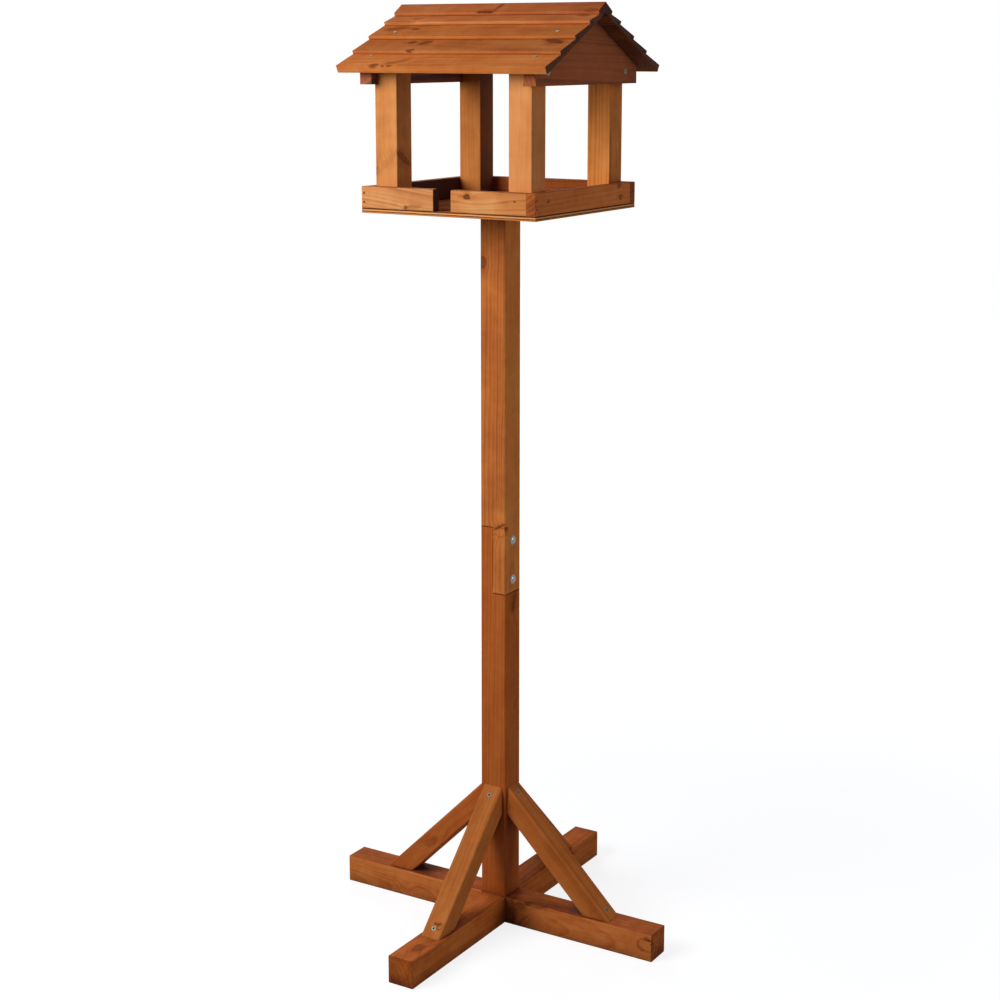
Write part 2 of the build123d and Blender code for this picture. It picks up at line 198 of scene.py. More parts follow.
def late_wood(tree, place, shifted, push, ring):
    """Growth rings, pale early wood running into a thin dark late band, and no two years alike."""
    wander = lay(tree, "TexNoise", Scale=1.0, Detail=2.0)
    wire(tree, wander.inputs["Vector"], vectors(tree, "MULTIPLY", shifted, (3.2, 16, 16)))
    flat = vectors(tree, "MULTIPLY", place, (0, 1, 1))
    bent = vectors(tree, "MULTIPLY_ADD", wander.outputs["Color"], (0, 0.014, 0.014), flat)
    out = vectors(tree, "LENGTH", bent)
    if push is not None:
        out = calc(tree, "ADD", out, push)
    slow = calc(tree, "MULTIPLY", out, 70)
    uneven = lay(tree, "TexNoise", {"noise_dimensions": "1D"}, W=slow, Scale=1.0, Detail=1.0)
    years = calc(tree, "MULTIPLY", uneven.outputs["Fac"], 2.6)
    years = calc(tree, "MULTIPLY_ADD", out, 1 / ring, years)
    band = calc(tree, "FRACT", years)
    late = calc(tree, "MULTIPLY", fade(tree, band, 0.2, 0.9), fade(tree, band, 0.9, 1.0, 1, 0))
    season = lay(tree, "TexWhiteNoise", {"noise_dimensions": "1D"}, W=calc(tree, "FLOOR", years))
    return calc(tree, "MULTIPLY", late, fade(tree, season.outputs["Value"], 0, 1, 0.2, 1.0))


def stained_pine(name, grain, pith, depths, knots=(), ring=0.0046, figure=0.18, seed=0.0, streaky=0.30,
                 blotchy=0.46, ends=0.24, corner_shade=0.42, corner=0.035, painted_face_light=()):
    """Stained softwood: growth rings about a pith line, fibres along the grain, knots and wear, with
    painted light and shade. A knot is its middle, the way its limb runs, its radius, the limb's half
    length, its depth and its rim. A depth below 0 makes it pale. The list of faces gives the way a face
    looks and how much darker it is painted than the rest, as painted shade, or paler below 0, as
    painted light. Corners and gaps between parts are painted darker by a share of their own, as
    painted shade."""
    material, tree, shader = new_finish(name)
    along = Vector(grain).normalized()
    upright = (0, 0, 1) if abs(along.z) < 0.8 else (0, 1, 0)
    place = about(tree, pith, along, upright, (1, 1, 1))
    shifted = vectors(tree, "ADD", place, (seed * 1.7, seed * 0.9, seed * 2.3))
    ragged = cloud(tree, shifted, (90, 160, 160), 3.0)
    push, nearest, flare, halo, shown, bark = knot_marks(tree, along, ragged, knots)
    late = late_wood(tree, place, shifted, push, ring)

    # Stain takes unevenly: streaks along the fibres, soft patches, dark end grain, rubbed arrises that also
    # stand for a painted highlight
    streak = cloud(tree, shifted, (7, 210, 210), 3.0)
    fibre = cloud(tree, shifted, (45, 1300, 1300), 2.0)
    patch = cloud(tree, shifted, (11, 26, 26), 3.0)
    mottle = cloud(tree, shifted, (75, 48, 48), 3.0)
    surface = lay(tree, "NewGeometry").outputs["True Normal"]
    sawn = fade(tree, calc(tree, "ABSOLUTE", vectors(tree, "DOT_PRODUCT", surface, along)), 0.62, 0.94)
    contrast = calc(tree, "MULTIPLY_ADD", sawn, -0.10, -figure)
    tone = calc(tree, "MULTIPLY_ADD", late, contrast, middle_tone + figure * 0.25)
    tone = toned(tree, tone, (streak, streaky), (fibre, 0.16), (patch, blotchy), (mottle, 0.4 * blotchy))
    if knots:
        swept = calc(tree, "MULTIPLY", flare, calc(tree, "MULTIPLY_ADD", streak, 1.6, 0.45))
        tone = toned(tree, tone, (halo, 0.14), (swept, -0.6), (bark, -0.5))
    tone = toned(tree, tone, (sawn, -ends))
    # Painted light and shade: a face turned the given way is painted darker, as shade, or paler, as light.
    for facing, face_shade_share in painted_face_light:
        turned = fade(tree, vectors(tree, "DOT_PRODUCT", surface, facing), 0.5, 0.85)
        tone = toned(tree, tone, (turned, -face_shade_share))
    # Painted shade: the tone is darkened in corners, creases and gaps between parts, where shade falls.
    shade_ao = lay(tree, "AmbientOcclusion", {"samples": 4}, Distance=corner).outputs["AO"]
    tone = toned(tree, tone, (fade(tree, shade_ao, 0.15, 0.85, 1, 0), -corner_shade))
    # Arrises painted paler: partly rubbed wear, partly a painted highlight along the rounded edge.
    arris = 0.0016
    eased = lay(tree, "Bevel", {"samples": 4}, Radius=arris).outputs["Normal"]
    wear_and_highlight = fade(tree, vectors(tree, "DOT_PRODUCT", surface, eased), 0.98, 0.80, 0, 0.16)
    tone = toned(tree, tone, (calc(tree, "ADD", streak, 0.5), wear_and_highlight))

    colour = stain_colour(tree, tone, depths)
    if knots:
        core = shades(tree, calc(tree, "MULTIPLY", nearest, 0.5), [
            (0.0, linear(84, 46, 26)), (0.18, linear(112, 62, 32)), (0.32, linear(86, 42, 18)),
            (0.45, linear(62, 28, 10)), (0.56, linear(118, 58, 20)), (0.85, linear(168, 90, 38)),
        ])
        colour = mixed(tree, shown, colour, core)
    wire(tree, shader.inputs["Base Color"], colour)
    matt = 0.70
    wire(tree, shader.inputs["Roughness"], toned(tree, matt, (sawn, 0.1), (streak, 0.3)))
    shader.inputs["Specular IOR Level"].default_value = 0.04
    raised = toned(tree, fibre, (streak, 0.6), (late, 0.5))
    relief = lay(tree, "Bump", Height=raised, Strength=0.35, Distance=0.0004, Normal=eased)
    wire(tree, shader.inputs["Normal"], relief.outputs["Normal"])
    return material


def brushed(node, material):
    """Gives a piece of the frame its finish."""
    timber[node].data.materials.clear()
    timber[node].data.materials.append(material)


brushed("base_rail_lower", stained_pine(
    "pine_base_rail_lower", grain=(1, 0.10, 0.02), pith=(0.1, 0.030, 0.018), depths=stain(217, 120, 56),
    seed=1.3, ring=0.0038, figure=0.16, blotchy=0.66, ends=0.30, corner_shade=0.8, corner=0.05,
    painted_face_light=[((0, 0, 1), 0.30), ((0, -1, 0), -0.05)],
    knots=[
        ((0.273, -0.022, 0.026), (0, -1, 0), 0.0100, 0.010, 0.10, 0.55),
        ((0.277, -0.022, 0.035), (0.5, -1, 0.2), 0.0024, 0.010, 0.7),
        ((0.064, -0.021, 0.043), (0.6, -1, 0.9), 0.0040, 0.016, 0.8),
        ((0.090, -0.016, 0.044), (1, 0.2, 0.05), 0.0050, 0.030, 0.5),
        # Not a knot: a dark patch painted in the inner corner by the crossing, as painted shade, drawn with a
        # knot's pattern.
        ((0.026, -0.022, 0.020), (0, 0.1, 1), 0.0120, 0.030, 0.7),
        ((0.052, -0.022, 0.036), (0.5, -1, 0), 0.0062, 0.020, 0.55),
        ((-0.170, 0.022, 0.024), (0, 1, 0.2), 0.007, 0.03, 0.9),
    ],
))
brushed("base_rail_upper", stained_pine(
    "pine_base_rail_upper", grain=(0.02, 1, -0.03), pith=(-0.028, 0.1, -0.008), depths=stain(208, 113, 48),
    seed=2.1, figure=0.11, blotchy=0.66, corner_shade=0.7, corner=0.05, painted_face_light=[((0, 0, 1), 0.18)],
    knots=[
        ((0.003, -0.240, 0.044), (0.3, -0.2, 1), 0.0080, 0.02, 0.50),
        ((0.022, 0.190, 0.036), (1, 0, 0.2), 0.005, 0.03, 0.8),
    ],
))


# Pole, lower length: the same square stock, stained a shade redder. It stands on the crossing and
# is screwed to it from below, and its left half is kept on at the top for the lap.

brushed("pole_lower", stained_pine(
    "pine_pole_lower", grain=(0.010, 0.006, 1), pith=(0.050, -0.006, 0.3), depths=stain(190, 98, 41),
    seed=3.4, figure=0.12, corner_shade=0.45,
    knots=[
        ((-0.022, 0.006, 0.36), (-1, 0.1, 0.1), 0.005, 0.03, 0.9),
        ((0.022, 0.004, 0.524), (0, 0.3, 1), 0.0040, 0.016, 0.6),
        # Not a knot: a thin dark line painted along the lap's seam on the front face, as painted shade in the
        # seam.
        ((0.0, -0.022, 0.594), (0, 0, 1), 0.0008, 0.044, 0.9),
    ],
))


# Base screw: one long countersunk screw driven from below, through both rails into the pole's
# foot. Zinc-plated steel with a cross cut in its head.

def zinc_plate(name, bright, rough):
    """Plated steel: faint spangle, fine haze, and painted shade where it meets the wood and in its hollows.
    """
    material, tree, shader = new_finish(name)
    where = lay(tree, "TexCoord").outputs["Object"]
    spangle = lay(tree, "TexVoronoi", Vector=where, Scale=900.0).outputs["Distance"]
    haze = lay(tree, "TexNoise", Vector=where, Scale=420.0, Detail=3.0).outputs["Fac"]
    # Painted shade: the plate darkens where it meets the wood and in its hollows, and the mottle carries this
    # down to the darkest grey.
    shade_ao = lay(tree, "AmbientOcclusion", {"samples": 4}, Distance=0.004).outputs["AO"]
    seat_shade = fade(tree, shade_ao, 0.30, 0.85, 1, 0)
    mottle = toned(tree, haze, (spangle, 0.35), (seat_shade, -0.6))
    dull = [value * 0.55 for value in bright[:3]] + [1]
    seat_shade_grey = [value * 0.06 for value in bright[:3]] + [1]
    colour = shades(tree, mottle, [(0.0, seat_shade_grey), (0.3, dull), (0.75, bright)])
    wire(tree, shader.inputs["Base Color"], colour)
    shader.inputs["Metallic"].default_value = 1.0
    wire(tree, shader.inputs["Roughness"], fade(tree, haze, 0.2, 0.8, rough - 0.08, rough + 0.14))
    relief = lay(tree, "Bump", Height=haze, Strength=0.15, Distance=0.0001)
    wire(tree, shader.inputs["Normal"], relief.outputs["Normal"])
    return material


def bar(sides, diameter, length, middle):
    """Bar standing on end, with its place applied and nothing else selected."""
    bpy.ops.object.select_all(action="DESELECT")
    bpy.ops.mesh.primitive_cylinder_add(vertices=sides, radius=diameter / 2, depth=length, location=middle)
    bpy.ops.object.transform_apply()
    return bpy.context.object


def underside(face):
    """Whether a face looks down."""
    return face.normal.z < -0.9


def pick(piece, wanted):
    """Opens a piece for shaping with only the wanted faces selected."""
    for group in (piece.data.vertices, piece.data.edges, piece.data.polygons):
        group.foreach_set("select", [False] * len(group))
    for face in piece.data.polygons:
        face.select = wanted(face)
    bpy.context.tool_settings.mesh_select_mode = (False, False, True)
    bpy.ops.object.mode_set(mode="EDIT")


def draw_down(depth, share):
    """Pulls the selected end down and makes it narrower or wider."""
    bpy.ops.mesh.extrude_region_move(TRANSFORM_OT_translate={"value": (0, 0, -depth)})
    bpy.ops.transform.resize(value=(share, share, 1), center_override=(0, 0, 0))


def carve(piece, tool, operation="DIFFERENCE"):
    """Cuts one form with another, which is used up."""
    bpy.ops.object.select_all(action="DESELECT")
    bpy.context.view_layer.objects.active = piece
    cut = piece.modifiers.new("cut", "BOOLEAN")
    cut.operation = operation
    cut.object = tool
    bpy.ops.object.modifier_apply(modifier="cut")
    bpy.data.objects.remove(tool)


def round_off(piece, width, segments=2):
    """Breaks the sharp edges and shades the rounds smooth."""
    bpy.ops.object.select_all(action="DESELECT")
    bpy.context.view_layer.objects.active = piece
    piece.select_set(True)
    edge = piece.modifiers.new("edge", "BEVEL")
    edge.width = width
    edge.segments = segments
    edge.limit_method = "ANGLE"
    edge.angle_limit = math.radians(50)
    bpy.ops.object.modifier_apply(modifier="edge")
    bpy.ops.object.shade_smooth_by_angle(angle=math.radians(35))


def countersunk_screw(head, shank, length):
    """One screw with its head's top at the origin and its tip down."""
    rim = head * 0.04
    tip = shank * 1.5
    cross = (head * 0.64, head * 0.20, head * 0.60)
    cross_foot = 0.45
    screw = bar(40, head, rim, (0, 0, -rim / 2))
    pick(screw, underside)
    draw_down((head - shank) / 2, shank / head)
    draw_down(length - head - shank, 1.0)
    draw_down(tip, 0.25)
    bpy.ops.object.mode_set(mode="OBJECT")
    for turn in (0.0, math.pi / 2):
        bpy.ops.mesh.primitive_cube_add(size=1, rotation=(0, 0, turn), scale=cross)
        wing = bpy.context.object
        bpy.ops.object.transform_apply()
        pick(wing, underside)
        bpy.ops.transform.resize(value=(cross_foot, cross_foot, 1), center_override=(0, 0, 0))
        bpy.ops.object.mode_set(mode="OBJECT")
        carve(screw, wing)
    round_off(screw, head * 0.012, 1)
    return screw


def driven(name, model, places, node, material):
    """Copies a fastener to its places, each a point and the way its head faces, as one piece. Each
    copy is turned a little further than the one before, as by hand."""
    first_turn = 0.3
    next_turn = 0.7
    copies = []
    for point, outward in places:
        copy = bpy.data.objects.new(name, model.data.copy())
        bpy.context.scene.collection.objects.link(copy)
        face = Vector(outward).to_track_quat("Z", "Y").to_matrix().to_4x4()
        spin = Matrix.Rotation(next_turn * len(copies) + first_turn, 4, "Z")
        copy.data.transform(Matrix.Translation(point) @ face @ spin)
        copies.append(copy)
    bpy.data.objects.remove(model)
    bpy.ops.object.select_all(action="DESELECT")
    for copy in copies:
        copy.select_set(True)
    bpy.context.view_layer.objects.active = copies[0]
    if len(copies) > 1:
        bpy.ops.object.join()
    piece = bpy.context.view_layer.objects.active
    piece.name = name
    piece.data.materials.clear()
    piece.data.materials.append(material)
    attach(piece, "root")
    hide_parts(node)


zinc = zinc_plate("zinc_plate", bright=linear(92, 92, 84), rough=0.38)
driven("foot_screw", countersunk_screw(head=0.012, shank=0.006, length=0.100), [((0, 0, 0), (0, 0, -1))],
       "base_screw", zinc)


# Braces: four lengths of lighter softwood with rounded arrises, cut plumb against the pole and level
# on the rails, one on each side, and screwed at both ends.

brace_stain = stain(194, 107, 46)
brushed("brace_front", stained_pine(
    "pine_brace_front", grain=(0, -1, -1), pith=(0.02, -0.10, 0.19), depths=stain(200, 116, 54),
    seed=5.1, figure=0.10,
    knots=[
        ((0.009, -0.190, 0.059), (0.2, -1, 1), 0.0040, 0.02, -0.9, 0.9),
        ((0.003, -0.188, 0.061), (1, 0.1, -0.1), 0.0009, 0.010, 0.8),
    ],
))
brushed("brace_right", stained_pine(
    "pine_brace_right", grain=(1, 0, -1), pith=(0.113, 0.090, 0.113), depths=brace_stain,
    seed=5.9, ring=0.0038, figure=0.46,
))
brushed("brace_left", stained_pine(
    "pine_brace_left", grain=(-1, 0, -1), pith=(-0.10, -0.05, 0.10), depths=stain(194, 101, 43),
    seed=6.6, knots=[((-0.121, -0.015, 0.103), (-0.9, -0.3, -0.6), 0.006, 0.014, 0.35)],
))
brushed("brace_back", stained_pine(
    "pine_brace_back", grain=(0, 1, -1), pith=(0.03, 0.10, 0.19), depths=brace_stain, seed=7.2,
))


# Brace screws: one countersunk screw of the same plated steel at each end of each brace. They are
# driven square to its outer face, at the top into the pole and at the foot into the rail.

brace_top = Vector((0.03367, 0, 0.21533))
brace_toe = Vector((0.19333, 0, 0.05567))
brace_out = Vector((1, 0, 1)).normalized()
quarter = [Matrix.Rotation(math.pi / 2 * side, 3, "Z") for side in range(4)]
driven("brace_screw_heads", countersunk_screw(head=0.008, shank=0.004, length=0.036), [
    (turn @ point, turn @ brace_out) for turn in quarter for point in (brace_top, brace_toe)
], "brace_screws", zinc)


# Pole, upper length: the same square stock, from a paler length. Its right half reaches down past
# the shoulder and is bolted to the lower length.

brushed("pole_upper", stained_pine(
    "pine_pole_upper", grain=(0.012, 0.004, 1), pith=(0.060, 0.012, 0.8), depths=stain(218, 127, 60),
    seed=4.2, figure=0.15, corner_shade=0.12, painted_face_light=[((0, -1, 0), 0.16)],
    knots=[
        ((-0.017, -0.021, 1.049), (-0.5, -1, 0.2), 0.0055, 0.02, 0.5, 0.3),
        ((0.013, -0.022, 0.639), (1, 0, 0.3), 0.0052, 0.012, -0.9, 0.35),
        ((0.012, -0.022, 0.6475), (1, 0, 0.5), 0.0012, 0.010, 0.7),
        ((0.022, -0.018, 0.6440), (0, 1, 0.3), 0.0022, 0.004, 0.7),
        # The last three are not knots but thin dark lines painted along the lap's seams, as painted shade in
        # them.
        ((-0.011, -0.022, 0.6445), (1, 0, 0), 0.0006, 0.012, 0.9),
        ((0.011, -0.022, 0.5405), (1, 0, 0), 0.0006, 0.012, 0.9),
        ((0.022, 0.0, 0.5405), (0, 1, 0), 0.0006, 0.024, 0.9),
    ],
))


# Pole bolts: two coach bolts through the lap, domed heads on the right, each with a washer and a
# hexagon nut on the left. Bright zinc plate.

def coach_bolt(head, dome, shank, length):
    """One bolt with its head's seat at the origin and its thread down."""
    rim = 0.0003
    thread = 0.0010
    turns = 14
    root = 0.90
    ball = (head * head / 4 + dome * dome) / (2 * dome)
    middle = (0, 0, dome - ball)
    bpy.ops.object.select_all(action="DESELECT")
    bpy.ops.mesh.primitive_uv_sphere_add(segments=48, ring_count=64, radius=ball, location=middle)
    bolt = bpy.context.object
    bpy.ops.object.transform_apply()
    pick(bolt, lambda face: True)
    bpy.ops.mesh.bisect(plane_co=(0, 0, rim), plane_no=(0, 0, 1), use_fill=True, clear_inner=True)
    bpy.ops.object.mode_set(mode="OBJECT")
    pick(bolt, underside)
    draw_down(rim, 1.0)
    draw_down(0.0, shank / head)
    draw_down(length - turns * thread, 1.0)
    for turn in range(turns):
        draw_down(thread / 2, root)
        draw_down(thread / 2, 1 / root)
    bpy.ops.object.mode_set(mode="OBJECT")
    bpy.ops.object.select_all(action="DESELECT")
    bolt.select_set(True)
    bpy.ops.object.shade_smooth_by_angle(angle=math.radians(35))
    return bolt


def plain_ring(outer, inner, thickness):
    """Washer with its seat at the origin."""
    middle = (0, 0, -thickness / 2)
    ring = bar(48, outer, thickness, middle)
    carve(ring, bar(32, inner, 4 * thickness, middle))
    round_off(ring, thickness * 0.18)
    return ring


def hexagon_nut(flats, bore, height):
    """Nut with its seat at the origin and its corners turned off."""
    middle = (0, 0, -height / 2)
    corners = 2 * flats / math.sqrt(3)
    nut = bar(6, corners, height, middle)
    turned = bar(48, corners, height, middle)
    round_off(turned, height * 0.16, 1)
    carve(nut, turned, "INTERSECT")
    carve(nut, bar(32, bore, 4 * height, middle))
    round_off(nut, 0.00012, 1)
    return nut


bolt_heights = (0.561, 0.623)
bolt_hole = 0.0062
pole_face = 0.022
washer = 0.0016
bright_zinc = zinc_plate("bright_zinc", bright=linear(122, 125, 124), rough=0.12)
driven("coach_bolts", coach_bolt(head=0.015, dome=0.0036, shank=0.006, length=0.0526),
       [((pole_face, 0, z), (1, 0, 0)) for z in bolt_heights],
       "pole_bolts", bright_zinc)
driven("bolt_washers", plain_ring(outer=0.018, inner=bolt_hole, thickness=washer),
       [((-pole_face, 0, z), (1, 0, 0)) for z in bolt_heights],
       "pole_bolt_washers", bright_zinc)
driven("bolt_nuts", hexagon_nut(flats=0.010, bore=bolt_hole, height=0.005),
       [((-pole_face - washer, 0, z), (1, 0, 0)) for z in bolt_heights],
       "pole_bolt_nuts", bright_zinc)


# Tray floor: a sheet of thin plywood on the pole's top, its three veneers showing along the edge.
# Two screws hold it to the pole.

def stained_ply(name, low, high, depths):
    """Plywood: crossed veneers along the edge, a broad rotary-cut figure on both faces."""
    material, tree, shader = new_finish(name)
    where = lay(tree, "TexCoord").outputs["Object"]
    broad = cloud(tree, where, (2.5, 13, 40), 3.0)
    waves = calc(tree, "FRACT", calc(tree, "MULTIPLY", broad, 9.0))
    figure = calc(tree, "MULTIPLY", fade(tree, waves, 0, 0.8), fade(tree, waves, 0.8, 1.0, 1, 0))
    streak = cloud(tree, where, (14, 300, 300), 3.0)
    patch = cloud(tree, where, (9, 9, 9), 3.0)
    tone = toned(tree, middle_tone, (figure, -0.22), (streak, 0.5), (patch, 0.6))
    face = stain_colour(tree, tone, depths)
    up = lay(tree, "SeparateXYZ", Vector=where).outputs["Z"]
    wobble = cloud(tree, where, (60, 60, 60), 2.0)
    layer = calc(tree, "MULTIPLY_ADD", up, 1 / (high - low), -low / (high - low))
    # The top of the edge is painted dark, as painted shadow in the gap under the rails; a dark band also runs
    # between the veneers.
    edge = shades(tree, toned(tree, layer, (wobble, 0.10), (streak, 0.14)), [
        (0.0, linear(146, 82, 40)), (0.08, linear(204, 128, 68)), (0.32, linear(192, 116, 58)),
        (0.36, linear(66, 32, 16)), (0.47, linear(72, 36, 18)), (0.52, linear(230, 162, 102)),
        (0.80, linear(222, 152, 92)), (0.86, linear(78, 38, 18)),
    ])
    surface = lay(tree, "NewGeometry").outputs["True Normal"]
    level = calc(tree, "ABSOLUTE", vectors(tree, "DOT_PRODUCT", surface, (0, 0, 1)))
    wire(tree, shader.inputs["Base Color"], mixed(tree, fade(tree, level, 0.3, 0.7), edge, face))
    wire(tree, shader.inputs["Roughness"], calc(tree, "MULTIPLY_ADD", streak, 0.3, 0.75))
    shader.inputs["Specular IOR Level"].default_value = 0.0
    relief = lay(tree, "Bump", Height=streak, Strength=0.4, Distance=0.0004)
    wire(tree, shader.inputs["Normal"], relief.outputs["Normal"])
    return material


floor_low = 1.1260
floor_high = 1.1325
brushed("tray_floor", stained_ply("stained_ply", floor_low, floor_high, stain(190, 116, 70)))


# Tray screws: two countersunk screws down through the floor into the pole's top, and one up from
# below into each post. Zinc-plated steel.

post_middle = 0.113
driven("pole_top_screw_heads", countersunk_screw(head=0.008, shank=0.004, length=0.0565),
       [((x, 0, floor_high), (0, 0, 1)) for x in (-0.011, 0.011)],
       "pole_top_screws", zinc)
driven("post_foot_screws", countersunk_screw(head=0.008, shank=0.004, length=0.0405), [
    ((x, y, floor_low), (0, 0, -1)) for x in (-post_middle, post_middle) for y in (-post_middle, post_middle)
], "floor_screws", zinc)


# Tray rails: low planed softwood strips nailed round the posts' feet, each covering the end of the
# one before. The front one is in two lengths, with a gap between them.

# A soaked depth tinted purple, the hue of shade: painted shade colour for the pieces and faces that sit in
# shade.
shade_hue_soak = (0.20, 0.30, 0.90)
shade_hue_inner_stain = stain(176, 94, 44, shade_hue_soak)
brushed("tray_rail_front_left", stained_pine(
    "pine_tray_rail_front_left", grain=(1, 0, -0.12), pith=(-0.08, -0.120, 1.100), depths=stain(210, 138, 80),
    seed=8.1, ring=0.0060, figure=0.22, streaky=0.40, ends=0.3, painted_face_light=[((1, 0, 0), 0.55), ((0, 0, 1), 0.22)],
    knots=[
        ((-0.070, -0.147, 1.1365), (0.5, -1, 0.5), 0.0020, 0.006, 0.8, 0.2),
        ((-0.055, -0.147, 1.1385), (1, 0, 0.1), 0.0020, 0.012, 0.3),
    ],
))
brushed("tray_rail_front_right", stained_pine(
    "pine_tray_rail_front_right", grain=(1, 0, 0.04), pith=(0.06, -0.120, 1.100), depths=stain(204, 126, 66),
    seed=8.4, ring=0.0056, figure=0.24, streaky=0.40, ends=0.55, painted_face_light=[((0, 0, 1), 0.22)],
    knots=[
        ((0.035, -0.147, 1.1560), (0.3, -1, 0.1), 0.0034, 0.02, 0.9, 0.5),
        ((0.058, -0.147, 1.1545), (1, 0, -0.1), 0.0030, 0.018, -1.3),
        ((0.050, -0.147, 1.1480), (1, 0, 0.2), 0.0026, 0.016, -1.2),
    ],
))
brushed("tray_rail_right", stained_pine(
    "pine_tray_rail_right", grain=(0, 1, 0.03), pith=(0.120, 0.05, 1.200), depths=stain(210, 118, 57),
    seed=8.8, ring=0.0085, figure=0.12, ends=0.26, painted_face_light=[((0, 0, 1), 0.22)],
    knots=[
        ((0.147, -0.112, 1.1520), (1, 0, 0.4), 0.0022, 0.020, 0.6),
        ((0.147, 0.098, 1.161), (1, 0.2, 0.5), 0.0030, 0.02, 0.6, 0.3),
        ((0.147, 0.102, 1.144), (1, 0.1, -0.5), 0.0034, 0.02, 0.5, 0.4),
    ],
))
brushed("tray_rail_back", stained_pine(
    "pine_tray_rail_back", grain=(1, 0, 0.02), pith=(0.02, 0.120, 1.200), depths=shade_hue_inner_stain,
    seed=9.0, ring=0.0032, figure=0.3, painted_face_light=[((0, -1, 0), 0.06)],
))
brushed("tray_rail_left", stained_pine(
    "pine_tray_rail_left", grain=(0, 1, -0.02), pith=(-0.115, 0, 1.100), depths=shade_hue_inner_stain,
    seed=9.2, painted_face_light=[((1, 0, 0), 0.66)],
    knots=[((-0.147, -0.040, 1.150), (-1, 0, 0.2), 0.004, 0.02, 0.9)],
))


# Rail nails: two at each covered corner, and one that holds the right front rail to its post. Small
# steel heads, brushed over with the stain.

def flat_nail(head, thickness, shank, length):
    """One nail with its head's underside at the origin and its point down."""
    nail = bar(24, head, thickness, (0, 0, thickness / 2))
    pick(nail, lambda face: face.normal.z > 0.9)
    bpy.ops.mesh.inset(thickness=head * 0.14)
    bpy.ops.transform.translate(value=(0, 0, -thickness * 0.18))
    bpy.ops.object.mode_set(mode="OBJECT")
    pick(nail, underside)
    draw_down(0.0, shank / head)
    draw_down(length - shank, 1.0)
    draw_down(shank, 0.2)
    bpy.ops.object.mode_set(mode="OBJECT")
    round_off(nail, thickness * 0.2)
    return nail


rail_face = 0.147
front = Vector((0, -1, 0))
corner_nails = [Vector((-0.1428, -rail_face, z)) for z in (1.142, 1.155)]
post_nail = Vector((post_middle, -rail_face, 1.1525))
stained_steel = zinc_plate("stained_steel", bright=linear(96, 62, 40), rough=0.5)
driven("rail_nail_heads", flat_nail(head=0.0032, thickness=0.0008, shank=0.002, length=0.030), [
    (turn @ spot, turn @ front) for turn in quarter for spot in corner_nails
] + [(post_nail, front)], "rail_nails", stained_steel)


# Posts: four square softwood uprights on the tray's floor, rebated at the top for the gable boards.
# Each is screwed from below, and its head is cut square under the roof.

brushed("post_front_left", stained_pine(
    "pine_post_front_left", grain=(0.01, 0.01, 1), pith=(-0.070, -0.160, 1.2), depths=stain(212, 136, 74),
    seed=10.1, figure=0.07, streaky=0.16, corner_shade=0.12, painted_face_light=[((1, 0, 0), 0.06)],
    knots=[
        ((-0.109, -0.132, 1.201), (-0.735, 0, -0.678), 0.0034, 0.018, 0.13),
        ((-0.131, -0.132, 1.186), (-0.3, 0, -1), 0.0026, 0.007, 0.4),
        ((-0.094, -0.115, 1.204), (0, 0.845, -0.534), 0.0034, 0.021, 0.5),
    ],
))
brushed("post_front_right", stained_pine(
    "pine_post_front_right", grain=(0.01, -0.01, 1), pith=(0.160, -0.190, 1.2), depths=stain(222, 142, 80),
    seed=10.6, figure=0.04, streaky=0.10, blotchy=0.36, corner_shade=0.12, painted_face_light=[((1, 0, 0), 0.08)],
))
brushed("post_back_left", stained_pine(
    "pine_post_back_left", grain=(-0.01, 0.01, 1), pith=(-0.060, 0.080, 1.2),
    depths=stain(198, 120, 58, shade_hue_soak),
    seed=11.3, figure=0.10, streaky=0.22, painted_face_light=[((1, 0, 0), 0.46)],
))
brushed("post_back_right", stained_pine(
    "pine_post_back_right", grain=(0.005, 0.0, 1), pith=(0.070, 0.100, 1.2), depths=stain(240, 150, 73),
    seed=11.8, ring=0.0056, figure=0.22, streaky=0.22, painted_face_light=[((1, 0, 0), 0.30)],
))


# Gables: five-sided softwood boards with level grain, let into the posts' outer faces and screwed
# there. They carry the roof.

brushed("gable_left", stained_pine(
    "pine_gable_left", grain=(0, 1, 0.02), pith=(-0.088, 0.02, 1.262),
    depths=stain(226, 134, 74, shade_hue_soak),
    seed=12.1, ring=0.0075, figure=0.24, streaky=0.14, blotchy=0.20, ends=0.40, corner_shade=0.10,
    painted_face_light=[((-1, 0, 0), 0.42), ((1, 0, 0), 0.52)],
))
brushed("gable_right", stained_pine(
    "pine_gable_right", grain=(0, 1, -0.02), pith=(0.070, 0.02, 1.290), depths=stain(226, 134, 74),
    seed=12.7, ring=0.0048, figure=0.13, streaky=0.15, blotchy=0.20, ends=0.34, corner_shade=0.20,
    painted_face_light=[((1, 0, 0), 0.42), ((-1, 0, 0), 0.60)],
))


# Gable screws: one countersunk screw through each gable board into each post, with its head in the
# weather. Zinc plate gone dull.

gable_face = 0.147
weathered_zinc = zinc_plate("weathered_zinc", bright=linear(112, 116, 104), rough=0.48)
driven("gable_screw_heads", countersunk_screw(head=0.008, shank=0.004, length=0.042), [
    ((side * gable_face, y, 1.328), (side, 0, 0)) for side in (-1, 1) for y in (-post_middle, post_middle)
], "gable_screws", weathered_zinc)


# Roof: five lapped softwood weatherboards a side, nailed to the gables, the ridge boards narrow
# strips mitred at the apex. The lower edges are painted paler, as painted light, and the undersides
# darker, as painted shade. Knots are listed by board, each with its place along and down the slope in
# place of its middle.

